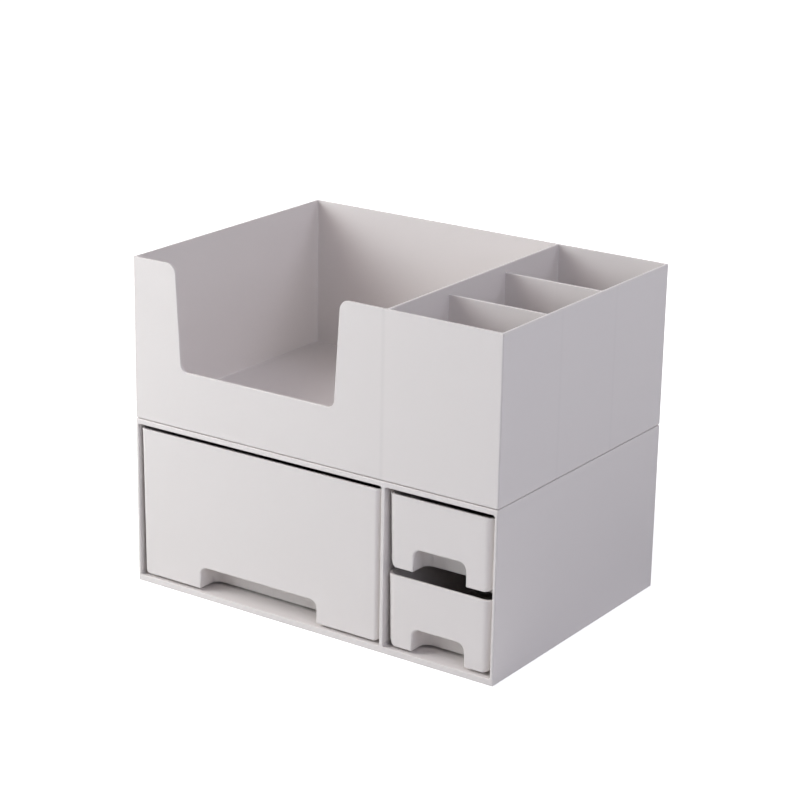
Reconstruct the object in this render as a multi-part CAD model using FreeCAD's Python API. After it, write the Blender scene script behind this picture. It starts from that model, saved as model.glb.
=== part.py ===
"""A makeup caddy: a cabinet of three drawers with an open tray standing on it.

+X is to the right, +Y to the back and +Z up.  The origin is the middle of the footprint, on
the surface that the caddy stands on, and the drawers open towards -Y.  Every piece is one
plastic moulding.  All sizes are in millimetres.
"""
import FreeCAD
import Part
import math
import os

V = FreeCAD.Vector

# Outside of the caddy
width = 290.0
depth = 205.0
cabinet_height = 118.0
tray_height = 113.0

# Cabinet shell
cabinet_wall = 2.2
cabinet_head = 3.6             # height of the edge above the drawers
cabinet_top_sheet = 2.1        # the top inside that edge is a shallow well
cabinet_sill = 4.5             # height of the edge below the drawers, level with the floor
cabinet_floor_sheet = 2.2
cabinet_corner_radius = 1.0    # the four upright outside edges
cabinet_foot_radius = 0.6
bay_corner_radius = 1.6
bay_edge = 0.5                 # front edges of the walls round the drawers
partition = 2.6
partition_x = 59.2             # middle of the wall between the two drawer bays
base_rib = 1.8                 # ribs under the floor
base_rib_lift = 0.4            # they end short of the surface below
base_rib_pitch = 58.0

# Where the tray and the cabinet meet
seam_radius = 0.9              # the cabinet's upper edge
seam_slit = 0.8                # the tray's outside ends this far above the cabinet
seam_slit_depth = 1.2
skirt_edge = 0.3               # the tray's lower edge
locator_head_gap = 0.4         # corner angles on the cabinet reach up under the tray's ribs
locator_wall = 2.0
locator_arm = 34.0
locator_gap = 0.5              # to the inside of the tray's skirt
locator_corner_radius = 2.5
locator_lead = 0.6

# Ledges that carry the upper small drawer
ledge_sheet = 2.0
ledge_reach = 13.0
ledge_setback = 12.0           # from the front of the cabinet to the ledge
ledge_nose_radius = 5.0

# Tray
tray_rim = 1.8                 # its walls at the rim
tray_root = 2.4                # its walls at the floor
tray_floor_lift = 6.0          # upper side of its floor, above the seam
tray_floor_sheet = 2.2
tray_skirt = 2.2
tray_corner_radius = 1.0
tray_edge = 0.45
long_wall_x = 60.0             # middle of the full-height wall
divider_count = 2              # short walls between it and the right-hand side
divider_drop = 5.5             # they end this far below the rim
tray_rib = 1.6                 # ribs under the tray's floor
tray_rib_height = 1.2
tray_rib_pitch = 62.0

# Scoop in the tray's front wall, where brushes and bottles are reached
scoop_sill = 40.5              # above the seam
scoop_width = 125.0            # at the sill
scoop_lean = 4.2               # each side leans out by this much at the rim
scoop_sill_radius = 5.0
scoop_rim_radius = 6.5

# All drawers
drawer_wall = 2.0
drawer_floor = 2.0
drawer_side_gap = 0.4          # from a drawer's lip to the bay
drawer_back_gap = 0.6
drawer_draft = 1.1             # every side moves in by this much from rim to bottom
drawer_front_share = 0.1       # the front draws in by this share of the sides at its foot
drawer_rim_edge = 0.35
foot_steps = 4
lip_flare = 0.6                # the rim stands out at the sides and the back
lip_root = 4.0                 # the flare starts this far below the rim
lip_band = 1.2                 # and ends in an upright band
lip_steps = 2
runner_height = 1.9            # two ribs under each drawer, which it slides on
runner_width = 2.2
runner_end_radius = 1.0
runner_inset = 0.5             # from the flat of the drawer's bottom
runner_end = 11.0

# Large drawer
large_head_gap = 3.0           # from its rim to the top of the bay
large_setback = 0.5            # of its rim behind the cabinet's front
large_corner_radius = 3.6
large_foot_radius = 3.2

# Small drawers, one above the other
small_head_gap = 3.6
small_ledge_gap = 1.1          # from the lower drawer's rim to the ledges
small_setback = 1.2
small_corner_radius = 6.0
small_foot_radius = 5.0

# Finger pulls, each a pocket that opens through the front and the bottom of its drawer
pull_height = 15.5
pull_top_radius = 5.0
pull_back_radius = 8.0
pull_lean = 0.8                # its sides and its back lean out by this much at the bottom
pull_foot_radius = 1.6
pull_foot_steps = 2
pull_top_steps = 4
large_pull_width = 96.5
large_pull_depth = 17.0
small_pull_width = 38.8
small_pull_depth = 15.0

# How far a cutting shape runs past the surface that it opens, and what counts as touching
past = 6.0
close = 0.001

# Places that follow from the sizes
left = -width / 2
right = width / 2
front = -depth / 2
back = depth / 2
seam = cabinet_height
rim = seam + tray_height
bay_top = cabinet_height - cabinet_head
bay_back = back - cabinet_wall
left_bay = (left + cabinet_wall, partition_x - partition / 2)
right_bay = (partition_x + partition / 2, right - cabinet_wall)
large_height = bay_top - cabinet_sill - runner_height - large_head_gap
small_height = (bay_top - cabinet_sill - small_head_gap - small_ledge_gap - ledge_sheet) / 2
small_height -= runner_height
ledge_top = cabinet_sill + runner_height + small_height + small_ledge_gap + ledge_sheet
tray_floor = seam + tray_floor_lift
locator_top = tray_floor - tray_floor_sheet - tray_rib_height - locator_head_gap


def rounded_wire(points, radii):
    """A closed wire through the points, each corner rounded by a radius of its own."""
    corners = []
    for i, point in enumerate(points):
        at = V(*point)
        to_last = (V(*points[i - 1]) - at).normalize()
        to_next = (V(*points[(i + 1) % len(points)]) - at).normalize()
        half = to_last.getAngle(to_next) / 2
        reach = radii[i] / math.tan(half)
        inward = (to_last + to_next).normalize()
        middle = at + inward * (radii[i] / math.sin(half) - radii[i])
        corners.append((at + to_last * reach, middle, at + to_next * reach))
    edges = []
    for i, (start, middle, end) in enumerate(corners):
        if radii[i] > 0:
            edges.append(Part.Arc(start, middle, end).toShape())
        following = corners[(i + 1) % len(corners)][0]
        if (following - end).Length > close:
            edges.append(Part.LineSegment(end, following).toShape())
    return Part.Wire(edges)


def level_wire(x, y, z, back_radius, front_radius=None):
    """A level rectangle over the ranges x and y, rounded at its corners."""
    if front_radius is None:
        front_radius = back_radius
    points = [(x[0], y[0], z), (x[1], y[0], z), (x[1], y[1], z), (x[0], y[1], z)]
    return rounded_wire(points, [front_radius, front_radius, back_radius, back_radius])


def stack(wires):
    """A solid through level outlines, straight from each to the next."""
    return Part.makeLoft(wires, True, True)


def level_plate(x, y, z, radius):
    """A plate over the ranges x, y and z with four rounded corners."""
    wire = level_wire(x, y, z[0], radius)
    return Part.Face(wire).extrude(V(0, 0, z[1] - z[0]))


def box(x, y, z):
    """A block with square edges over the ranges x, y and z."""
    return Part.makeBox(x[1] - x[0], y[1] - y[0], z[1] - z[0], V(x[0], y[0], z[0]))


def inset(span, by):
    """A range made smaller at both ends."""
    return (span[0] + by, span[1] - by)


def spaced(span, pitch):
    """Evenly spaced places inside a range, about one pitch apart."""
    gaps = max(2, round((span[1] - span[0]) / pitch))
    step = (span[1] - span[0]) / gaps
    return [span[0] + step * i for i in range(1, gaps)]


def quarter_turn(radius, steps):
    """Points of a rounded edge, as its height under the edge's end and how far it draws in."""
    angles = [math.pi / 2 * i / steps for i in range(steps + 1)]
    return [(radius * math.sin(angle), radius * (1 - math.cos(angle))) for angle in angles]


def on_level(edge, z):
    """Whether an edge lies at one height."""
    reach = edge.BoundBox
    return abs(reach.ZMin - z) < close and abs(reach.ZMax - z) < close


def rib_grid(x, y, z, rib, pitch):
    """Crossed ribs of one thickness over the ranges x and y, as one solid."""
    ribs = [box((at - rib / 2, at + rib / 2), y, z) for at in spaced(x, pitch)]
    ribs += [box(x, (at - rib / 2, at + rib / 2), z) for at in spaced(y, pitch)]
    return ribs[0].fuse(ribs[1:])


def cabinet_block():
    """The cabinet's outside, with its top and bottom edges rounded."""
    block = level_plate((left, right), (front, back), (0, seam), cabinet_corner_radius)
    block = block.makeFillet(seam_radius, [e for e in block.Edges if on_level(e, seam)])
    return block.makeFillet(cabinet_foot_radius, [e for e in block.Edges if on_level(e, 0)])


def bay_space(x):
    """The space that a drawer bay takes out of the cabinet, open at the front."""
    points = [(x[0], front - past, cabinet_sill), (x[1], front - past, cabinet_sill),
              (x[1], front - past, bay_top), (x[0], front - past, bay_top)]
    outline = rounded_wire(points, [bay_corner_radius] * 4)
    return Part.Face(outline).extrude(V(0, bay_back - front + past, 0))


def locator(side_x, side_y):
    """One corner angle, which keeps the tray from sliding off the cabinet."""
    reach = cabinet_wall + locator_gap
    x = side_x * (right - reach)
    y = side_y * (back - reach)
    arm_x = x - side_x * locator_arm
    arm_y = y - side_y * locator_arm
    in_x = x - side_x * locator_wall
    in_y = y - side_y * locator_wall
    z = seam - cabinet_head + cabinet_top_sheet
    points = [(x, y, z), (arm_x, y, z), (arm_x, in_y, z),
              (in_x, in_y, z), (in_x, arm_y, z), (x, arm_y, z)]
    inner_radius = locator_corner_radius - locator_wall
    outline = rounded_wire(points, [locator_corner_radius, 0, 0, inner_radius, 0, 0])
    angle = Part.Face(outline).extrude(V(0, 0, locator_top - z))
    top = [e for e in angle.Edges if on_level(e, locator_top)]
    return angle.makeChamfer(locator_lead, top)


def ledge(wall_x, toward):
    """One ledge of the right-hand bay, from the wall at wall_x towards the bay's middle."""
    nose = wall_x + toward * ledge_reach
    start = front + ledge_setback
    z = ledge_top - ledge_sheet
    points = [(wall_x, start, z), (nose, start, z), (nose, bay_back, z), (wall_x, bay_back, z)]
    outline = rounded_wire(points, [0, ledge_nose_radius, 0, 0])
    return Part.Face(outline).extrude(V(0, 0, ledge_sheet))


def is_bay_edge(edge):
    """Whether an edge runs round the mouth of one of the bays."""
    middle = edge.CenterOfMass
    on_front = edge.BoundBox.YMax < front + close
    beside = any(bay[0] - close < middle.x < bay[1] + close for bay in (left_bay, right_bay))
    return on_front and beside and cabinet_sill - close < middle.z < bay_top + close


def cabinet_shell():
    """The cabinet: walls, partition, ribbed floor, top with a well, and the ledges."""
    inside_x = inset((left, right), cabinet_wall)
    inside_y = inset((front, back), cabinet_wall)
    shell = cabinet_block()
    for bay in (left_bay, right_bay):
        shell = shell.cut(bay_space(bay))
    shell = shell.makeChamfer(bay_edge, [e for e in shell.Edges if is_bay_edge(e)])
    floor_under = cabinet_sill - cabinet_floor_sheet
    hollow = box(inside_x, inside_y, (-past, floor_under))
    ribs = rib_grid(inside_x, inside_y, (base_rib_lift, floor_under), base_rib, base_rib_pitch)
    shell = shell.cut(hollow.cut(ribs))
    well_floor = bay_top + cabinet_top_sheet
    shell = shell.cut(box(inside_x, inside_y, (well_floor, seam + past)))
    added = [locator(side_x, side_y) for side_x in (-1, 1) for side_y in (-1, 1)]
    added += [ledge(right_bay[0], 1), ledge(right_bay[1], -1)]
    return shell.fuse(added).removeSplitter()


def tray_wall_at(z):
    """The thickness of a tray wall at one height: more at the floor than at the rim."""
    return tray_root + (tray_rim - tray_root) * (z - tray_floor) / (rim - tray_floor)


def tray_space(x, shares):
    """The room between tray walls, over the range x between the walls' middles or faces.

    shares says how much of the wall's thickness lies inside x at each end: all of an
    outside wall, and half of the long wall.
    """
    wires = []
    levels = ((tray_floor, 0), (rim - tray_edge, 0), (rim, tray_edge), (rim + past, tray_edge))
    for z, cut in levels:
        wall = tray_wall_at(min(z, rim))
        room_x = (x[0] + wall * shares[0] - cut, x[1] - wall * shares[1] + cut)
        room_y = inset((front, back), wall - cut)
        wires.append(level_wire(room_x, room_y, z, tray_corner_radius))
    return stack(wires)


def divider(y):
    """A short wall of the tray from the long wall to the right-hand side."""
    top = rim - divider_drop
    in_floor = tray_floor - tray_floor_sheet / 2
    wires = []
    for z, cut in ((in_floor, 0), (top - tray_edge, 0), (top, tray_edge)):
        half = tray_wall_at(z) / 2
        room_y = inset((y - half, y + half), cut)
        wires.append(level_wire((long_wall_x, right - half), room_y, z, 0))
    return stack(wires)


def scoop_wire(y, grow):
    """The scoop's outline on an upright plane, made larger on every side."""
    middle = (left + long_wall_x) / 2
    half = scoop_width / 2 + grow
    wide = half + scoop_lean
    beyond = wide + scoop_rim_radius + past
    side = [(half, seam + scoop_sill - grow), (wide, rim - grow),
            (beyond, rim - grow), (beyond, rim + past)]
    points = [(middle + x, y, z) for x, z in side]
    points += [(middle - x, y, z) for x, z in reversed(side)]
    radii = [scoop_sill_radius + grow, scoop_rim_radius - grow, 0, 0]
    return rounded_wire(points, radii + radii[::-1])


def scoop():
    """The cutter for the low part of the tray's front wall, with its front edge broken."""
    inside = front + 2 * tray_root
    cuts = ((front - past, tray_edge), (front, tray_edge), (front + tray_edge, 0), (inside, 0))
    return stack([scoop_wire(y, grow) for y, grow in cuts])


def organiser_tray():
    """The tray: outside walls, long wall, dividers, scoop and a ribbed floor."""
    edge = seam + seam_slit
    tray = level_plate((left, right), (front, back), (edge, rim), tray_corner_radius)
    tray = tray.makeChamfer(skirt_edge, [e for e in tray.Edges if on_level(e, edge)])
    tray = tray.makeChamfer(tray_edge, [e for e in tray.Edges if on_level(e, rim)])
    tray = tray.cut(tray_space((left, long_wall_x), (1, 0.5)))
    tray = tray.cut(tray_space((long_wall_x, right), (0.5, 1)))
    room_y = inset((front, back), tray_rim)
    step = (room_y[1] - room_y[0] + tray_rim) / (divider_count + 1)
    places = [room_y[0] - tray_rim / 2 + step * i for i in range(1, divider_count + 1)]
    tray = tray.fuse([divider(y) for y in places])
    tray = tray.cut(scoop())
    rest_x = inset((left, right), seam_slit_depth)
    rest_y = inset((front, back), seam_slit_depth)
    tray = tray.fuse(box(rest_x, rest_y, (seam, edge)))
    under_floor = tray_floor - tray_floor_sheet
    inside_x = inset((left, right), tray_skirt)
    inside_y = inset((front, back), tray_skirt)
    hollow = box(inside_x, inside_y, (seam - past, under_floor))
    rib_z = (under_floor - tray_rib_height, under_floor)
    ribs = rib_grid(inside_x, inside_y, rib_z, tray_rib, tray_rib_pitch)
    return tray.cut(hollow.cut(ribs))


class Drawer:
    """One drawer, worked out from the bay that it slides in."""

    def __init__(self, bay, bottom, height, setback, corner, foot, pull_width, pull_depth):
        self.bottom = bottom
        self.top = bottom + height
        self.x = inset(bay, drawer_side_gap + lip_flare)
        self.y = (front + setback, bay_back - drawer_back_gap - lip_flare)
        self.corner = corner
        self.foot = foot
        self.pull_width = pull_width
        self.pull_depth = pull_depth

    def lean(self, z):
        """How far each side has moved in at one height."""
        return drawer_draft * (self.top - z) / (self.top - self.bottom)

    def wire(self, z, wall, out, front_out):
        """The outline at one height, inside a wall; out moves all its sides but the front."""
        lean = self.lean(min(z, self.top)) + wall
        x = inset(self.x, lean - out)
        y = (self.y[0] + lean - front_out, self.y[1] - lean + out)
        radius = self.corner - wall + out
        return level_wire(x, y, z, radius)

    def outlines(self, low, wall):
        """The outlines inside a wall, from the rounded foot up to the flare of the lip."""
        wires = []
        for rise, draw in reversed(quarter_turn(self.foot - wall, foot_steps)):
            z = low + self.foot - wall - rise
            wires.append(self.wire(z, wall, -draw, -draw * drawer_front_share))
        for rise, draw in quarter_turn(1, lip_steps):
            z = self.top - lip_root + (lip_root - lip_band) * rise
            wires.append(self.wire(z, wall, lip_flare * draw, 0))
        return wires

    def pull(self, wall):
        """The finger pull's pocket, made larger on every side by a wall."""
        face = self.y[0] + drawer_draft
        top = self.bottom + pull_height + wall
        levels = [(self.bottom - past, pull_foot_radius)]
        for rise, draw in reversed(quarter_turn(pull_foot_radius, pull_foot_steps)):
            levels.append((self.bottom + pull_foot_radius - rise, draw))
        for rise, draw in quarter_turn(pull_top_radius + wall, pull_top_steps):
            levels.append((top - pull_top_radius - wall + rise, -draw))
        middle = (self.x[0] + self.x[1]) / 2
        wires = []
        for z, out in levels:
            out += wall + pull_lean * (top - z) / pull_height
            half = self.pull_width / 2 + out
            y = (face - past, face + self.pull_depth + out)
            radius = pull_back_radius + out
            wires.append(level_wire((middle - half, middle + half), y, z, radius, 0))
        return stack(wires)

    def moulding(self):
        """The whole drawer: outside, hollow, finger pull and runners."""
        edge = drawer_rim_edge
        outside = self.outlines(self.bottom, 0)
        outside.append(self.wire(self.top - edge, 0, lip_flare, 0))
        outside.append(self.wire(self.top, 0, lip_flare - edge, -edge))
        hollow = self.outlines(self.bottom + drawer_floor, drawer_wall)
        hollow.append(self.wire(self.top - edge, drawer_wall, lip_flare, 0))
        hollow.append(self.wire(self.top, drawer_wall, lip_flare + edge, edge))
        hollow.append(self.wire(self.top + past, drawer_wall, lip_flare + edge, edge))
        drawer = stack(outside).cut(stack(hollow).cut(self.pull(drawer_wall)))
        drawer = drawer.cut(self.pull(0))
        start = self.x[0] + drawer_draft + self.foot + runner_inset
        end = self.x[1] - drawer_draft - self.foot - runner_inset
        y = (self.y[0] + drawer_draft + runner_end, self.y[1] - drawer_draft - runner_end)
        z = (self.bottom - runner_height, self.bottom + drawer_floor / 2)
        runners = [level_plate(x, y, z, runner_end_radius)
                   for x in ((start, start + runner_width), (end - runner_width, end))]
        return drawer.fuse(runners)


def large_drawer():
    """The drawer of the left-hand bay."""
    return Drawer(left_bay, cabinet_sill + runner_height, large_height, large_setback,
                  large_corner_radius, large_foot_radius,
                  large_pull_width, large_pull_depth).moulding()


def small_drawer(carried_at):
    """A drawer of the right-hand bay, on the surface at one height."""
    return Drawer(right_bay, carried_at + runner_height, small_height, small_setback,
                  small_corner_radius, small_foot_radius,
                  small_pull_width, small_pull_depth).moulding()


pieces = {
    "cabinet_shell": cabinet_shell(),
    "organiser_tray": organiser_tray(),
    "large_drawer": large_drawer(),
    "upper_small_drawer": small_drawer(ledge_top),
    "lower_small_drawer": small_drawer(cabinet_sill),
}

os.makedirs("parts", exist_ok=True)
for name, shape in pieces.items():
    shape.exportStep("parts/" + name + ".step")
    size = shape.BoundBox
    print(name, "valid" if shape.isValid() else "NOT VALID", len(shape.Solids), "solid",
          "x %.1f to %.1f" % (size.XMin, size.XMax), "y %.1f to %.1f" % (size.YMin, size.YMax),
          "z %.1f to %.1f" % (size.ZMin, size.ZMax), "volume %.0f" % shape.Volume)
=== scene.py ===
# %% [markdown]
# # A makeup caddy
#
# The object is a desktop caddy for make-up in two storeys.  The lower one is a cabinet with one
# large and two small drawers.  The upper one is an open tray with one large and three small
# compartments.  All five pieces are injection mouldings of the same warm light grey plastic.
#
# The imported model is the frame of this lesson.  It has the real sizes and every clearance, and
# nothing here moves it.

# %% Load the frame
import math

import bmesh
import bpy
from mathutils import Matrix, Vector


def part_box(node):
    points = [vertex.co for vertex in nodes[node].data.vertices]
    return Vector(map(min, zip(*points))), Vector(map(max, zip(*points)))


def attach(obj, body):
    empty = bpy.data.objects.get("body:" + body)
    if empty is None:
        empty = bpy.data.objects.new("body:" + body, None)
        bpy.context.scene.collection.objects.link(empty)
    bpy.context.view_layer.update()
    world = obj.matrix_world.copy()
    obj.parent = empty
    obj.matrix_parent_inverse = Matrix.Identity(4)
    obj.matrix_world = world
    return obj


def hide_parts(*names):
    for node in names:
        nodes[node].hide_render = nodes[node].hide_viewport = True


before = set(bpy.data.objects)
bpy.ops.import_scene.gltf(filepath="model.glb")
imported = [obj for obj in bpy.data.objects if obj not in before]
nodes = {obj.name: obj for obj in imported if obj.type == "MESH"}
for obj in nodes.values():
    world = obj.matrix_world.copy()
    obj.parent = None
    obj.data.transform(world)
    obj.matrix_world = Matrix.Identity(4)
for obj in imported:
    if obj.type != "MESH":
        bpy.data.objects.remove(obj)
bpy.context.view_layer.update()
MM = 0.001
print("pieces in the frame:", ", ".join(sorted(nodes)))

# %% [markdown]
# ## Camera
#
# The picture was taken from the front, right and above with a long lens, so the caddy's edges
# hardly converge.  The place and the turn of the camera follow from the corners of the two
# boxes, whose real sizes are known.  A long lens far away was chosen over a short one close by
# because only it gives both the shape of the top and the slant of the bottom edge.

# %% Camera
camera_place = (0.8589, -1.2576, 0.6370)
camera_azimuth = 34.30         # degrees to the right of the front
camera_elevation = 18.303      # degrees above the horizon
camera_roll = 1.067
camera_lens = 106.88           # mm, for a picture as wide as the next value
picture_width = 36

bpy.ops.object.camera_add()
camera = bpy.context.object
camera.name = "camera"
turn = Matrix.Rotation(math.radians(camera_azimuth), 4, "Z")
turn @= Matrix.Rotation(math.radians(90 - camera_elevation), 4, "X")
turn @= Matrix.Rotation(math.radians(camera_roll), 4, "Z")
camera.matrix_world = Matrix.Translation(camera_place) @ turn
camera.data.lens = camera_lens
camera.data.sensor_width = picture_width
bpy.context.scene.camera = camera
bpy.context.scene.view_settings.view_transform = "Standard"
print("camera stands", round(Vector(camera_place).length, 2), "m from the origin")

# %% [markdown]
# ## Shader maths in plain words
#
# A finish is a small calculation: noise at several scales, added up and fed to roughness or
# bump.  Written node by node it takes pages.  One class that wraps a socket lets it be written
# as sums and products, and each sum adds its own Math node.

# %% A socket that can be added and multiplied
class Wire:
    """One output socket of a shader's node tree."""

    def __init__(self, tree, socket):
        self.tree = tree
        self.socket = socket

    def math(self, operation, *others, flip=False):
        """A Math node on this value and others, in turned order if flip is set."""
        values = [self, *others]
        if flip:
            values.reverse()
        return self.tree.node("ShaderNodeMath", {"operation": operation}, dict(enumerate(values)))

    def __add__(self, other):
        return self.math("ADD", other)

    def __sub__(self, other):
        return self.math("SUBTRACT", other)

    def __mul__(self, other):
        return self.math("MULTIPLY", other)

    def __rsub__(self, other):
        return self.math("SUBTRACT", other, flip=True)

    __radd__ = __add__
    __rmul__ = __mul__


class Tree:
    """The node tree of one material."""

    def __init__(self, material):
        material.use_nodes = True
        self.nodes = material.node_tree.nodes
        self.links = material.node_tree.links
        self.nodes.clear()

    def node(self, kind, settings=None, inputs=None, output=0):
        """A node of any kind: its settings first, then the values or wires of its sockets."""
        made = self.nodes.new(kind)
        for name, value in (settings or {}).items():
            setattr(made, name, value)
        for name, value in (inputs or {}).items():
            if isinstance(value, Wire):
                self.links.new(value.socket, made.inputs[name])
            else:
                made.inputs[name].default_value = value
        return Wire(self, made.outputs[output])

    def surface(self, shader):
        """Makes a shader the material's surface."""
        end = self.nodes.new("ShaderNodeOutputMaterial")
        self.links.new(shader.socket, end.inputs["Surface"])


# %% [markdown]
# ## Floor and background
#
# The picture's background is pure white.  Turning the lamps up until the floor is white would
# bleach the plastic too.  Here the floor is a pale card that adds a little light of its own only
# where the camera or a mirror-like ray meets it.  It comes out white, and the caddy's soft
# shadow stays on it.

# %% Floor
floor_size = 12.0
floor_lift = 0.62              # light that the floor adds up to near_end from the middle
far_lift = 1.0                 # and from far_start on
near_end = 0.3
far_start = 0.8
card_white = 0.86

bpy.ops.object.select_all(action="DESELECT")
bpy.ops.mesh.primitive_plane_add(size=floor_size, location=(0, 0, 0))
floor = bpy.context.object
floor.name = "floor"
card = Tree(bpy.data.materials.new("white_card"))
floor.data.materials.append(bpy.data.materials["white_card"])
path = card.nodes.new("ShaderNodeLightPath")


def seen_directly(tree, path):
    """1 where the camera, a reflection or something clear sees the surface."""
    rays = [Wire(tree, path.outputs[name])
            for name in ("Is Camera Ray", "Is Glossy Ray", "Is Transmission Ray")]
    return rays[0].math("MAXIMUM", rays[1]).math("MAXIMUM", rays[2])


place = card.node("ShaderNodeTexCoord", output=3)
away = card.node("ShaderNodeVectorMath", {"operation": "LENGTH"}, {0: place}, output=1)
lift = card.node("ShaderNodeMapRange", {"interpolation_type": "SMOOTHSTEP"},
                 {"Value": away, "From Min": near_end, "From Max": far_start,
                  "To Min": floor_lift, "To Max": far_lift})
paint = card.node("ShaderNodeBsdfDiffuse", inputs={"Color": (*[card_white] * 3, 1)})
glow = card.node("ShaderNodeEmission", inputs={"Strength": seen_directly(card, path) * lift})
card.surface(card.node("ShaderNodeAddShader", inputs={0: paint, 1: glow}))

# %% World
world = bpy.data.worlds.new("white_room")
bpy.context.scene.world = world
room = Tree(world)
room_level = 0.05              # light that the white room gives from all sides
path = room.nodes.new("ShaderNodeLightPath")
level = seen_directly(room, path) * (1 - room_level) + room_level
air = room.node("ShaderNodeBackground", inputs={"Color": (1, 1, 1, 1), "Strength": level})
end = room.nodes.new("ShaderNodeOutputWorld")
room.links.new(air.socket, end.inputs["Surface"])

# %% [markdown]
# ## Light
#
# The front is the brightest side and falls off from left to right, so a large soft lamp stands
# close by at the front left, with a small low one beside it.  The right-hand side is darker and
# a little brighter at the back, so two weak ones stand at the right, one before the caddy and
# one behind it.  Most lamps stand low, because the rims, which face up, are no brighter than
# the front.  A small warm one stands high and reaches the tray's floor, and a weak one lights
# the back.  Powers and tints were set until every side had its tone in the photograph.

# %% Lamps
caddy_middle = Vector((0, 0, 0.11))


def soft_lamp(name, azimuth, elevation, distance, size, power, colour):
    """A square lamp that faces the caddy, placed by its angle round it and above the floor."""
    a = math.radians(azimuth)
    e = math.radians(elevation)
    out = Vector((math.sin(a) * math.cos(e), -math.cos(a) * math.cos(e), math.sin(e)))
    bpy.ops.object.light_add(type="AREA", location=caddy_middle + out * distance)
    lamp = bpy.context.object
    lamp.name = name
    lamp.rotation_euler = out.to_track_quat("Z", "Y").to_euler()
    lamp.data.shape = "SQUARE"
    lamp.data.size = size
    lamp.data.energy = power
    lamp.data.color = colour
    print(name, "stands at", [round(x, 2) for x in lamp.location])


# Each lamp: degrees to the right of the front, degrees up, distance and size in metres, watts.
soft_lamp("key_lamp", -60, 35, 1.6, 1.0, 16.5, (0.99, 1.0, 1.0))
soft_lamp("high_lamp", -45, 55, 1.3, 0.8, 2.1, (1.0, 0.80, 0.77))
soft_lamp("front_lamp", -45, 20, 1.3, 0.6, 5.0, (0.88, 0.97, 1.0))
soft_lamp("side_lamp", 60, 30, 1.6, 1.0, 7.0, (0.84, 0.86, 1.0))
soft_lamp("right_lamp", 140, 50, 1.3, 0.6, 3.9, (0.88, 0.88, 1.0))
soft_lamp("back_lamp", 170, 18, 1.6, 1.0, 5.1, (1.0, 1.0, 1.0))

# %% [markdown]
# ## The plastic
#
# The caddy is moulded from a matte light grey plastic.  The mould's surface is finely eroded,
# so the plastic has a grain of about a third of a millimetre, which spreads its gloss.  Larger
# and weaker waves come from shrinking walls.  Where the long wall or a short one meets the
# tray's outside from within, it has drawn the surface in a little.  This shallow dent is a faint
# bump, and its shade is painted into the colour as a faint darker upright line.

# %% Moulded plastic
grain_size = 0.35 * MM
grain_height = 0.03 * MM
grain_strength = 0.35
grain_gloss = 0.12             # how much the grain changes the roughness
speckle_size = 1.4 * MM        # small spots in the colour
speckle_shade = 0.012          # and how much they change it
flow_size = 70 * MM            # large clouds in colour and gloss
flow_shade = 0.02
flow_gloss = 0.06
wave_size = 45 * MM
wave_height = 0.12 * MM
plastic_roughness = 0.52
plastic_ior = 1.49
sink_width = 2.5 * MM          # half the width of a sink mark
sink_depth = 0.016 * MM
sink_painted_shade = 0.045             # and along it the colour is darker by this share, as painted shade


def moulded_plastic(name, colour, marks=()):
    """Matte plastic with a fine grain, faint flow in its colour and slow waves in its walls.

    Each mark is a line where a wall inside has drawn the surface in, as a faint bump with
    painted shade in its colour: its axis, its place on that axis, the x from which it is there,
    and its strength.
    """
    material = bpy.data.materials.new(name)
    tree = Tree(material)
    place = tree.node("ShaderNodeTexCoord", output=3)
    axes = tree.nodes.new("ShaderNodeSeparateXYZ")
    tree.links.new(place.socket, axes.inputs["Vector"])

    def sink_mark(axis, at, start, strength):
        gap = (Wire(tree, axes.outputs[axis]) - at).math("ABSOLUTE")
        there = Wire(tree, axes.outputs["X"]).math("GREATER_THAN", start)
        sunk = {"Value": gap, "From Min": 0, "From Max": sink_width,
                "To Min": strength, "To Max": 0}
        smooth = {"interpolation_type": "SMOOTHSTEP"}
        return tree.node("ShaderNodeMapRange", smooth, sunk) * there

    def noise(size, detail=2.0):
        settings = {"noise_dimensions": "3D"}
        inputs = {"Vector": place, "Scale": 1 / size, "Detail": detail, "Roughness": 0.5}
        return tree.node("ShaderNodeTexNoise", settings, inputs)

    grain = noise(grain_size)
    flow = noise(flow_size)
    speckle = noise(speckle_size)
    waves = noise(wave_size, 0.0)
    sunk = sum(sink_mark(*mark) for mark in marks)
    shade = (flow - 0.5) * flow_shade + (speckle - 0.5) * speckle_shade
    # painted shade: the colour is made darker along each sink mark, on top of the random tone
    shade = shade + 1.0 - sunk * sink_painted_shade
    mix = {"data_type": "RGBA", "blend_type": "MULTIPLY"}
    tone = tree.node("ShaderNodeCombineColor",
                     inputs={"Red": shade, "Green": shade, "Blue": shade})
    base = tree.node("ShaderNodeMix", mix, {0: 1.0, 6: (*colour, 1), 7: tone}, output=2)
    rough = (grain - 0.5) * grain_gloss + (flow - 0.5) * flow_gloss + plastic_roughness
    walls = waves - sunk * (sink_depth / wave_height)
    slow = tree.node("ShaderNodeBump", inputs={"Strength": 1.0, "Distance": wave_height,
                                               "Height": walls})
    skin = tree.node("ShaderNodeBump", inputs={"Strength": grain_strength,
                                               "Distance": grain_height,
                                               "Height": grain, "Normal": slow})
    shader = tree.node("ShaderNodeBsdfPrincipled",
                       inputs={"Base Color": base, "Roughness": rough, "IOR": plastic_ior,
                               "Normal": skin})
    tree.surface(shader)
    return material


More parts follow.
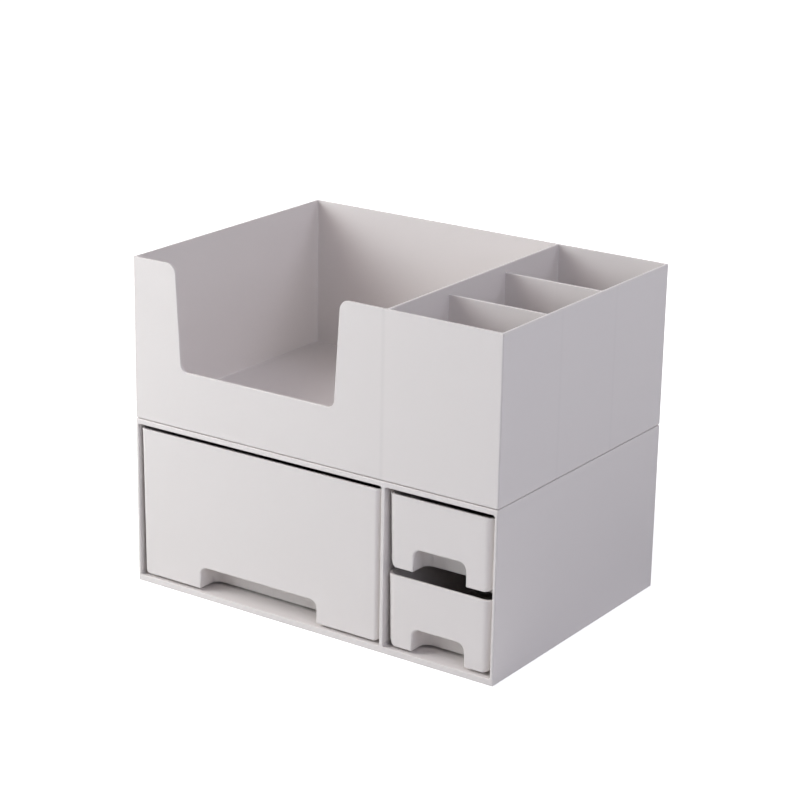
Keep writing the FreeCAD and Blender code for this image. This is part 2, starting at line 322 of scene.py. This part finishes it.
warm_grey = (0.73, 0.69, 0.672)
long_wall_mark = 57.4 * MM     # its x
divider_mark = 33.8 * MM       # y of one divider's mark, and of the other's to the front
divider_share = 0.4            # a divider's mark is this strong beside the long wall's
right_side = 100 * MM          # the dividers' marks are only to the right of this x
wall_marks = [("X", long_wall_mark, 0, 1),
              ("Y", divider_mark, right_side, divider_share),
              ("Y", -divider_mark, right_side, divider_share)]
plastic = {"cabinet_plastic": moulded_plastic("cabinet_plastic", warm_grey),
           "tray_plastic": moulded_plastic("tray_plastic", warm_grey, wall_marks),
           "drawer_plastic": moulded_plastic("drawer_plastic", warm_grey)}

# %% [markdown]
# ## Modelling by hand, from a script
#
# Each piece starts as a primitive at its real size and place and is shaped in edit mode.  The
# frame's own pieces are still selected after loading, and an operator acts on all that is
# selected, so every start clears the selection first.  Corners, edges and faces are picked by
# where they are, as one would click them.

# %% Starting a piece
TINY = 0.01 * MM


def alone(piece):
    """Makes a piece the only selected one and the active one."""
    bpy.ops.object.select_all(action="DESELECT")
    piece.select_set(True)
    bpy.context.view_layer.objects.active = piece


def open_for_editing(name, size):
    """Names the new primitive, sizes it and opens it with nothing picked and its place applied."""
    piece = bpy.context.object
    piece.name = name
    piece.data.name = name
    piece.scale = size
    bpy.ops.object.transform_apply(location=True, rotation=True, scale=True)
    bpy.ops.object.mode_set(mode="EDIT")
    bpy.ops.mesh.select_all(action="DESELECT")


def start_block(name, x, y, z):
    """A block over the ranges x, y and z, in edit mode."""
    middle = [(span[0] + span[1]) / 2 for span in (x, y, z)]
    size = [span[1] - span[0] for span in (x, y, z)]
    bpy.ops.object.select_all(action="DESELECT")
    bpy.ops.mesh.primitive_cube_add(size=1, location=middle)
    open_for_editing(name, size)


def start_sheet(name, x, y, z):
    """A level sheet over the ranges x and y, facing up, in edit mode."""
    middle = ((x[0] + x[1]) / 2, (y[0] + y[1]) / 2, z)
    bpy.ops.object.select_all(action="DESELECT")
    bpy.ops.mesh.primitive_plane_add(size=1, location=middle)
    open_for_editing(name, (x[1] - x[0], y[1] - y[0], 1))


def done():
    """Leaves edit mode and gives the piece."""
    bpy.ops.object.mode_set(mode="OBJECT")
    return bpy.context.object


# %% Picking and shaping
def pick(kind, passes, turn=None):
    """Picks what passes a test on its corners, and nothing else: VERT, EDGE or FACE.

    With a turn only edges are picked at which the surface turns by more than that angle.
    """
    bpy.ops.mesh.select_mode(type=kind)
    bpy.ops.mesh.select_all(action="DESELECT")
    mesh = bpy.context.edit_object.data
    shape = bmesh.from_edit_mesh(mesh)
    for element in {"VERT": shape.verts, "EDGE": shape.edges, "FACE": shape.faces}[kind]:
        corners = [element.co] if kind == "VERT" else [v.co for v in element.verts]
        if passes(corners) and (turn is None or element.calc_face_angle(0) > turn):
            element.select_set(True)
    shape.select_flush_mode()
    bmesh.update_edit_mesh(mesh)


def at_level(z):
    """A test for what lies at one height."""
    return lambda corners: all(abs(c.z - z) < TINY for c in corners)


def along(axis):
    """A test for edges that run along one axis: 0, 1 or 2."""
    others = [i for i in range(3) if i != axis]
    return lambda corners: all(abs(corners[0][i] - corners[1][i]) < TINY for i in others)


def fit(x=None, y=None):
    """Scales and moves what is picked until it spans the range x or y, or both."""
    shape = bmesh.from_edit_mesh(bpy.context.edit_object.data)
    places = [v.co for v in shape.verts if v.select]
    stretch = [1, 1, 1]
    centre = [0, 0, 0]
    move = [0, 0, 0]
    for axis, span in enumerate((x, y)):
        if span:
            low = min(place[axis] for place in places)
            high = max(place[axis] for place in places)
            centre[axis] = (low + high) / 2
            stretch[axis] = (span[1] - span[0]) / (high - low)
            move[axis] = (span[0] + span[1]) / 2 - centre[axis]
    bpy.ops.transform.resize(value=stretch, center_override=centre)
    bpy.ops.transform.translate(value=move)


def round_off(radius, steps):
    """Rounds the picked edges."""
    bpy.ops.mesh.bevel(offset=radius, segments=steps, affect="EDGES", clamp_overlap=False)


# %% Modifiers
def apply_modifier(piece, kind, settings):
    """Adds a modifier to a piece and makes its result the piece's mesh."""
    alone(piece)
    modifier = piece.modifiers.new(kind.lower(), kind)
    for name, value in settings.items():
        setattr(modifier, name, value)
    bpy.ops.object.modifier_apply(modifier=modifier.name)


def combine(piece, tools, operation):
    """Cuts tools out of a piece or joins them to it, and removes the tools."""
    for tool in tools:
        settings = {"operation": operation, "solver": "MANIFOLD", "object": tool}
        apply_modifier(piece, "BOOLEAN", settings)
        bpy.data.objects.remove(tool)


# %% [markdown]
# ## Soft edges
#
# No edge of a moulding is sharp, because the mould's corners are cut with a round tool and
# polished.  On the caddy they are rounded by less than half a millimetre, but each one catches
# a thin line of light.  A Bevel modifier rounds every edge that turns by more than a set angle.
# Its loop slide is off, because the flat rims are crossed by edges that lie in them, and sliding
# along those would fold the rims.  What stands closer to a wall than two roundings need, such as
# a rib, is rounded by itself and joined afterwards.  At the end a Weighted Normal modifier keeps
# the flat faces flat.

# %% Round and finish
sharp_turn = math.radians(40)
flat_turn = math.radians(0.3)  # faces that turn by less lie in one plane
face_weight = 80               # how much a large face decides on the normals at its corners


def clean(piece):
    """Merges corners that lie on each other and faces that lie in one plane."""
    alone(piece)
    bpy.ops.object.mode_set(mode="EDIT")
    bpy.ops.mesh.select_all(action="SELECT")
    bpy.ops.mesh.remove_doubles(threshold=2 * TINY)
    bpy.ops.mesh.dissolve_limited(angle_limit=flat_turn)
    bpy.ops.object.mode_set(mode="OBJECT")


def finish(piece):
    """Shades a piece smooth, but for its sharp edges, with flat faces that stay flat."""
    alone(piece)
    bpy.ops.object.shade_smooth_by_angle(angle=sharp_turn)
    apply_modifier(piece, "WEIGHTED_NORMAL", {"keep_sharp": True, "weight": face_weight})


def round_edges(piece, radius, steps=3):
    """Cleans a piece's mesh and rounds all its edges."""
    clean(piece)
    apply_modifier(piece, "BEVEL", {"width": radius, "segments": steps, "limit_method": "ANGLE",
                                    "angle_limit": sharp_turn, "use_clamp_overlap": False,
                                    "loop_slide": False})


def put_in_frame(piece, node, body, slot):
    """Lets a piece stand for a node of the frame, ride on its body and wear its plastic."""
    piece.data.materials.clear()
    piece.data.materials.append(plastic[slot])
    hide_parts(node)
    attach(piece, body)
    print(piece.name, "has", len(piece.data.polygons), "faces")


# %% [markdown]
# ## Drawers
#
# A drawer is a shell of even thickness: its sides lean in towards the bottom so that it leaves
# the mould, its foot is rounded at the sides and the back, and its lip flares out.  It could be
# a block with bevelled edges, but then the front would get the same round foot as the sides,
# which the real one doesn't have.  So it is drawn down from the rim in rings.  Each ring is an
# inset of the last one that is pushed down, and the front is held back where it has to be.

# %% Rings
def quarter_turn(steps):
    """The steps of a quarter circle of radius 1, as how far each goes on and how far in."""
    angles = [math.pi / 2 * i / steps for i in range(steps + 1)]
    return [(math.sin(b) - math.sin(a), math.cos(a) - math.cos(b))
            for a, b in zip(angles, angles[1:])]


def drawn_in(radius, above):
    """How far a rounded foot of some radius is drawn in at a height above its lowest point."""
    reach = max(0, radius - above)
    return radius - math.sqrt(radius ** 2 - reach ** 2)


def ring(onward, inward, front_inward=None):
    """Pushes the picked face on and draws its outline in, by another amount at the front."""
    bpy.ops.mesh.inset(thickness=inward, depth=onward)
    if front_inward is not None and front_inward != inward:
        shape = bmesh.from_edit_mesh(bpy.context.edit_object.data)
        places = [v.co.y for v in shape.verts if v.select]
        fit(y=(min(places) - inward + front_inward, max(places)))


def round_corners(passes, radius, steps):
    """Rounds the picked corners of a flat sheet and picks the whole sheet again."""
    pick("VERT", passes)
    bpy.ops.mesh.bevel(offset=radius, segments=steps, affect="VERTICES", clamp_overlap=False)
    pick("FACE", lambda corners: True)


# %% The outside and the hollow of a drawer
drawer_wall = 2.0 * MM
drawer_draft = 1.1 * MM        # every side moves in by this much from rim to bottom
drawer_edge = 0.35 * MM        # rounding of the rim and of the front's lower edge
lip_flare = 0.6 * MM
lip_root = 4.0 * MM            # the flare starts this far below the rim
lip_band = 1.2 * MM            # and ends in an upright band
runner_height = 1.9 * MM
past = 6.0 * MM                # how far a cutting shape runs past what it opens
corner_steps = 10              # flats in a quarter turn of an upright corner
foot_steps = 8
lip_steps = 4


def close_up(level):
    """Closes the open outline at one height, turns every face outward and ends editing."""
    pick("EDGE", at_level(level))
    bpy.ops.mesh.edge_face_add()
    bpy.ops.mesh.select_all(action="SELECT")
    bpy.ops.mesh.normals_make_consistent(inside=False)
    return done()


def drawer_block(name, box, corner, foot, wall):
    """A drawer's outside, or the hollow inside its wall, as a block drawn down from the rim."""
    low, high = box
    height = high.z - low.z - runner_height
    foot_radius = foot - wall
    start = high.z + (past if wall else 0)
    start_sheet(name, (low.x + wall, high.x - wall), (low.y + wall, high.y - wall), start)
    bpy.ops.mesh.select_all(action="SELECT")
    bpy.ops.mesh.flip_normals()
    rim_corner = corner + lip_flare + drawer_draft - wall
    round_corners(lambda corners: True, rim_corner, corner_steps)

    def down(drop, draw, front_draw=0):
        lean = drawer_draft * drop / height
        ring(drop, lean + draw, lean + front_draw)

    if wall:
        ring(past, 0)
    down(lip_band, 0)
    for onward, inward in reversed(quarter_turn(lip_steps)):
        down((lip_root - lip_band) * onward, lip_flare * inward)
    down(height - lip_root - foot, 0)
    front_radius = max(0, drawer_edge - wall)
    above = foot_radius
    for onward, inward in quarter_turn(foot_steps):
        next_above = max(0, above - foot_radius * onward)
        front_draw = drawn_in(front_radius, next_above) - drawn_in(front_radius, above)
        down(foot_radius * onward, foot_radius * inward, front_draw)
        above = next_above
    return close_up(start)


# %% [markdown]
# ## Finger pulls
#
# A drawer has no knob.  A pocket in the lower edge of its front takes the fingertips: it is open
# to the front and to the bottom, with a rounded roof and rounded inner corners, and it widens
# towards the bottom.  It is drawn up in rings as well and cut out of the drawer.  A second one,
# larger by the wall, is taken out of the hollow first.  So the pocket gets its own wall inside
# the drawer, as the moulding has.  A Solidify modifier would do that in one step, but the edge
# round the mouth has a radius smaller than the wall, and there the inner faces would cross.

# %% The space of a finger pull
pull_height = 15.5 * MM
pull_top_radius = 5.0 * MM
pull_back_radius = 5.2 * MM
pull_lean = 0.8 * MM           # each side leans out by this much at the bottom
mouth_radius = 1.3 * MM        # rounding of the edge between the front and the pocket


def pull_block(place, width, depth, wall):
    """The pocket of a finger pull as a block, made larger by a wall and drawn up to its roof."""
    middle, face, bottom = place
    slope = pull_lean / pull_height
    wide = wall + slope * (pull_height + wall + past)
    x = (middle - width / 2 - wide, middle + width / 2 + wide)
    start_sheet("pull_space", x, (face - 3 * past, face + depth + wide), bottom - past)

    def up(rise, draw):
        ring(rise, slope * rise + draw)

    round_corners(lambda corners: corners[0].y > face, pull_back_radius + wide, corner_steps)
    up(past + pull_height - pull_top_radius, 0)
    for onward, inward in quarter_turn(foot_steps):
        up((pull_top_radius + wall) * onward, (pull_top_radius + wall) * inward)
    return close_up(bottom - past)


# %% A whole drawer
runner_width = 2.2 * MM
runner_end_radius = 1.0 * MM
runner_inset = 0.5 * MM        # from the flat of the drawer's bottom
runner_end = 11.0 * MM         # from the drawer's front and from its back


def drawer(name, node, corner, foot, pull_width, pull_depth):
    """A drawer with its finger pull and runners, over the box of its node."""
    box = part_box(node)
    low, high = box
    bottom = low.z + runner_height
    face = low.y + drawer_draft
    place = ((low.x + high.x) / 2, face, bottom)
    shell = drawer_block(name, box, corner, foot, 0)
    hollow = drawer_block("hollow", box, corner, foot, drawer_wall)
    combine(hollow, [pull_block(place, pull_width, pull_depth, drawer_wall)], "DIFFERENCE")
    combine(shell, [hollow], "DIFFERENCE")
    combine(shell, [pull_block(place, pull_width, pull_depth, 0)], "DIFFERENCE")
    clean(shell)
    alone(shell)
    bpy.ops.object.mode_set(mode="EDIT")
    pick("EDGE", at_level(high.z), sharp_turn)
    round_off(drawer_edge, 3)
    reach = pull_width / 2 + pull_lean + TINY

    def on_mouth(corners):
        lowest = bottom + drawer_edge - TINY
        highest = bottom + pull_height + TINY
        beside = all(abs(c.x - place[0]) < reach and c.y < face + TINY for c in corners)
        return beside and all(lowest < c.z < highest for c in corners)

    pick("EDGE", on_mouth, sharp_turn)
    round_off(mouth_radius, 5)
    done()
    start = low.x + lip_flare + drawer_draft + foot + runner_inset
    end = high.x - lip_flare - drawer_draft - foot - runner_inset
    y = (face + runner_end, high.y - lip_flare - drawer_draft - runner_end)
    runners = []
    for x in ((start, start + runner_width), (end - runner_width, end)):
        start_block("runner", x, y, (low.z, bottom + drawer_wall / 2))
        pick("EDGE", along(2))
        round_off(runner_end_radius, 4)
        pick("EDGE", at_level(low.z))
        round_off(drawer_edge, 2)
        runners.append(done())
    combine(shell, runners, "UNION")
    finish(shell)
    return shell


large = drawer("drawer_large", "large_drawer", corner=3.6 * MM, foot=3.2 * MM,
               pull_width=96.5 * MM, pull_depth=17.0 * MM)
put_in_frame(large, "large_drawer", "large_drawer", "drawer_plastic")

# %% [markdown]
# The two small drawers come out of one mould, so the upper one is modelled and the lower one is
# a copy of it with its own mesh, let down onto the cabinet's floor.

# %% Small drawers
upper = drawer("drawer_small_upper", "upper_small_drawer", corner=6.0 * MM, foot=5.0 * MM,
               pull_width=38.8 * MM, pull_depth=15.0 * MM)
lower = upper.copy()
lower.data = upper.data.copy()
lower.name = "drawer_small_lower"
bpy.context.scene.collection.objects.link(lower)
alone(lower)
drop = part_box("lower_small_drawer")[0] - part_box("upper_small_drawer")[0]
bpy.ops.transform.translate(value=drop)
bpy.ops.object.transform_apply(location=True, rotation=True, scale=True)
put_in_frame(upper, "upper_small_drawer", "upper_small_drawer", "drawer_plastic")
put_in_frame(lower, "lower_small_drawer", "lower_small_drawer", "drawer_plastic")

# %% [markdown]
# ## Tray
#
# The tray is a box whose walls get thicker towards the floor.  Its rooms are cut out as blocks
# that narrow on the way down.  The two short walls are set into the room at the right, and the
# low part of the front wall is cut away and its four corners rounded.  The outside ends just
# above the cabinet and a narrower rest goes on inside, so a dark slit parts the two.

# %% Rooms of the tray
tray_rim = 1.8 * MM            # its walls at the rim
tray_root = 2.4 * MM           # its walls at the floor
tray_floor_lift = 6.0 * MM     # upper side of its floor, above its lower edge
tray_floor_sheet = 2.2 * MM
tray_skirt = 2.2 * MM
tray_corner_radius = 1.0 * MM
tray_floor_radius = 0.8 * MM   # where its walls meet its floor
seam_slit = 0.8 * MM           # its outside ends this far above the cabinet
seam_slit_depth = 1.4 * MM
long_wall_x = 60.0 * MM        # middle of the full-height wall
divider_count = 2
divider_drop = 5.5 * MM        # the short walls end this far below the rim
tray_low, tray_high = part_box("organiser_tray")
tray_floor = tray_low.z + tray_floor_lift


def inset_range(span, by):
    """A range made smaller at both ends."""
    return (span[0] + by, span[1] - by)


def tray_wall_at(z):
    """The thickness of a tray wall at one height."""
    share = (z - tray_floor) / (tray_high.z - tray_floor)
    return tray_root + (tray_rim - tray_root) * share


def room_block(x, shares):
    """The room over the range x, which lies inside the walls by a share of their thickness."""
    levels = (tray_floor, tray_high.z + past)
    spans = []
    for z in levels:
        wall = tray_wall_at(z)
        room_x = (x[0] + wall * shares[0], x[1] - wall * shares[1])
        spans.append((room_x, inset_range((tray_low.y, tray_high.y), wall)))
    start_block("room", *spans[0], levels)
    pick("FACE", at_level(levels[1]))
    fit(*spans[1])
    pick("EDGE", lambda corners: abs(corners[0].z - corners[1].z) > past)
    round_off(tray_corner_radius, 4)
    pick("EDGE", at_level(tray_floor))
    round_off(tray_floor_radius, 3)
    return done()


def divider_block(y):
    """A short wall of the tray, thinner at its top."""
    top = tray_high.z - divider_drop
    levels = (tray_floor - tray_floor_sheet / 2, top)
    x = (long_wall_x, tray_high.x - tray_rim / 2)
    spans = [(y - tray_wall_at(z) / 2, y + tray_wall_at(z) / 2) for z in levels]
    start_block("divider", x, spans[0], levels)
    pick("FACE", at_level(top))
    fit(y=spans[1])
    return done()


# %% The low part of the front wall
scoop_sill = 40.5 * MM         # above the tray's lower edge
scoop_width = 125.0 * MM       # at the sill
scoop_lean = 4.2 * MM          # each side leans out by this much at the rim
scoop_sill_radius = 5.0 * MM
scoop_rim_radius = 6.5 * MM
scoop_middle = (tray_low.x + long_wall_x) / 2


def scoop_block():
    """The block that is cut out of the front wall, wider at its top."""
    sill = tray_low.z + scoop_sill
    top = tray_high.z + past
    half = scoop_width / 2
    wide = half + scoop_lean * (top - sill) / (tray_high.z - sill)
    start_block("scoop", (scoop_middle - half, scoop_middle + half),
                (tray_low.y - past, tray_low.y + 2 * tray_root), (sill, top))
    pick("FACE", at_level(top))
    fit(x=(scoop_middle - wide, scoop_middle + wide))
    return done()


def round_scoop(tray):
    """Rounds the two corners at the sill and the two at the rim."""
    alone(tray)
    bpy.ops.object.mode_set(mode="EDIT")
    crossing = along(1)
    for z, half, radius in ((tray_low.z + scoop_sill, scoop_width / 2, scoop_sill_radius),
                            (tray_high.z, scoop_width / 2 + scoop_lean, scoop_rim_radius)):
        def is_corner(corners):
            beside = abs(abs(corners[0].x - scoop_middle) - half) < 10 * TINY
            return crossing(corners) and beside and abs(corners[0].z - z) < TINY
        pick("EDGE", is_corner)
        round_off(radius, 8)
    done()


# %% The whole tray
tray_rib = 1.6 * MM
tray_rib_height = 1.2 * MM
tray_rib_pitch = 62.0 * MM
tray_edge = 0.36 * MM
rib_edge = 0.3 * MM


def spaced(span, pitch):
    """Evenly spaced places inside a range, about one pitch apart."""
    gaps = max(2, round((span[1] - span[0]) / pitch))
    return [span[0] + (span[1] - span[0]) * i / gaps for i in range(1, gaps)]


def rib_blocks(x, y, z, rib, pitch):
    """Crossed ribs over the ranges x and y, which reach a little into the walls round them."""
    long_x = inset_range(x, -rib / 2)
    long_y = inset_range(y, -rib / 2)
    spans = [((at - rib / 2, at + rib / 2), long_y) for at in spaced(x, pitch)]
    spans += [(long_x, (at - rib / 2, at + rib / 2)) for at in spaced(y, pitch)]
    made = []
    for span_x, span_y in spans:
        start_block("rib", span_x, span_y, z)
        pick("EDGE", at_level(z[0]))
        round_off(rib_edge, 2)
        made.append(done())
    return made


skirt_end = tray_low.z + seam_slit
start_block("tray", (tray_low.x, tray_high.x), (tray_low.y, tray_high.y), (skirt_end, tray_high.z))
pick("EDGE", along(2))
round_off(tray_corner_radius, 4)
tray = done()
start_block("rest", inset_range((tray_low.x, tray_high.x), seam_slit_depth),
            inset_range((tray_low.y, tray_high.y), seam_slit_depth), (tray_low.z, tray_floor))
combine(tray, [done()], "UNION")
rooms = [room_block((tray_low.x, long_wall_x), (1, 0.5)),
         room_block((long_wall_x, tray_high.x), (0.5, 1))]
combine(tray, rooms, "DIFFERENCE")
combine(tray, [scoop_block()], "DIFFERENCE")
round_scoop(tray)
room_y = inset_range((tray_low.y, tray_high.y), tray_rim / 2)
step = (room_y[1] - room_y[0]) / (divider_count + 1)
combine(tray, [divider_block(room_y[0] + step * i) for i in range(1, divider_count + 1)], "UNION")
under_floor = tray_floor - tray_floor_sheet
inside_x = inset_range((tray_low.x, tray_high.x), tray_skirt)
inside_y = inset_range((tray_low.y, tray_high.y), tray_skirt)
start_block("hollow", inside_x, inside_y, (tray_low.z - past, under_floor))
combine(tray, [done()], "DIFFERENCE")
rib_z = (under_floor - tray_rib_height, under_floor + tray_floor_sheet / 2)
round_edges(tray, tray_edge)
combine(tray, rib_blocks(inside_x, inside_y, rib_z, tray_rib, tray_rib_pitch), "UNION")
finish(tray)
put_in_frame(tray, "organiser_tray", "tray", "tray_plastic")

# %% [markdown]
# ## Cabinet
#
# The cabinet is one moulding too, open at the front.  Each bay is cut out of a block with its
# corners rounded.  Its top is a shallow well with an angle in each corner, which the tray's
# lower edge drops over, and its floor is ribbed underneath.

# %% Cabinet block and bays
cabinet_wall = 2.2 * MM
cabinet_head = 3.6 * MM
cabinet_top_sheet = 2.1 * MM
cabinet_sill = 4.5 * MM
cabinet_floor_sheet = 2.2 * MM
cabinet_corner_radius = 1.0 * MM
cabinet_foot_radius = 0.6 * MM
cabinet_seam_radius = 0.9 * MM
bay_corner_radius = 1.6 * MM
partition = 2.6 * MM
partition_x = 59.2 * MM
base_rib = 1.8 * MM
base_rib_lift = 0.4 * MM
base_rib_pitch = 58.0 * MM
cabinet_edge = 0.35 * MM
shell_low, shell_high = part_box("cabinet_shell")
seam = tray_low.z
bay_top = seam - cabinet_head
bay_back = shell_high.y - cabinet_wall
left_bay = (shell_low.x + cabinet_wall, partition_x - partition / 2)
right_bay = (partition_x + partition / 2, shell_high.x - cabinet_wall)

start_block("cabinet", (shell_low.x, shell_high.x), (shell_low.y, shell_high.y), (0, seam))
pick("EDGE", along(2))
round_off(cabinet_corner_radius, 4)
pick("EDGE", at_level(seam))
round_off(cabinet_seam_radius, 4)
pick("EDGE", at_level(0))
round_off(cabinet_foot_radius, 3)
cabinet = done()
for bay in (left_bay, right_bay):
    start_block("bay", bay, (shell_low.y - past, bay_back), (cabinet_sill, bay_top))
    pick("EDGE", along(1))
    round_off(bay_corner_radius, 4)
    combine(cabinet, [done()], "DIFFERENCE")
print("cabinet with its bays has", len(cabinet.data.polygons), "faces")

# %% [markdown]
# The upper small drawer rides on two ledges, one on each side of its bay.  Their front corners
# are rounded so that nothing catches on them.

# %% Ledges
ledge_sheet = 2.0 * MM
ledge_reach = 13.0 * MM
ledge_setback = 12.0 * MM
ledge_nose_radius = 5.0 * MM
ledge_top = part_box("upper_small_drawer")[0].z


def ledge(wall_x, toward):
    """One ledge from the wall at wall_x, let into it, towards the bay's middle."""
    nose = wall_x + toward * ledge_reach
    x = sorted((wall_x - toward * cabinet_wall / 2, nose))
    y = (shell_low.y + ledge_setback, bay_back + cabinet_wall / 2)
    start_block("ledge", x, y, (ledge_top - ledge_sheet, ledge_top))
    upright = along(2)
    pick("EDGE", lambda c: upright(c) and abs(c[0].x - nose) < TINY and c[0].y < 0)
    round_off(ledge_nose_radius, 8)
    return done()


combine(cabinet, [ledge(right_bay[0], 1), ledge(right_bay[1], -1)], "UNION")

# %% Top well, corner angles and ribs
locator_wall = 2.0 * MM
locator_arm = 34.0 * MM
locator_gap = 0.5 * MM
locator_corner_radius = 2.5 * MM


def corner_angle(side_x, side_y):
    """One upright angle in a corner of the top, which keeps the tray in its place."""
    def span(side, face, reach):
        return sorted((side * face, side * (face - reach)))

    face_x = shell_high.x - cabinet_wall - locator_gap
    face_y = shell_high.y - cabinet_wall - locator_gap
    z = (bay_top + cabinet_top_sheet / 2, shell_high.z)
    start_block("angle", span(side_x, face_x, locator_arm), span(side_y, face_y, locator_arm), z)
    upright = along(2)
    outer = (side_x * face_x, side_y * face_y)
    pick("EDGE", lambda c: upright(c) and (c[0].xy - Vector(outer)).length < TINY)
    round_off(locator_corner_radius, 6)
    angle = done()
    inner_x = span(side_x, face_x - locator_wall, locator_arm)
    inner_y = span(side_y, face_y - locator_wall, locator_arm)
    start_block("angle_space", inner_x, inner_y, (z[0] - past, z[1] + past))
    combine(angle, [done()], "DIFFERENCE")
    round_edges(angle, cabinet_edge)
    return angle


inside_x = inset_range((shell_low.x, shell_high.x), cabinet_wall)
inside_y = inset_range((shell_low.y, shell_high.y), cabinet_wall)
start_block("well", inside_x, inside_y, (bay_top + cabinet_top_sheet, seam + past))
combine(cabinet, [done()], "DIFFERENCE")
floor_under = cabinet_sill - cabinet_floor_sheet
start_block("hollow", inside_x, inside_y, (-past, floor_under))
combine(cabinet, [done()], "DIFFERENCE")
rib_z = (base_rib_lift, floor_under + cabinet_floor_sheet / 2)
round_edges(cabinet, cabinet_edge)
combine(cabinet, rib_blocks(inside_x, inside_y, rib_z, base_rib, base_rib_pitch), "UNION")
angles = [corner_angle(side_x, side_y) for side_x in (-1, 1) for side_y in (-1, 1)]
combine(cabinet, angles, "UNION")
finish(cabinet)
put_in_frame(cabinet, "cabinet_shell", "cabinet", "cabinet_plastic")
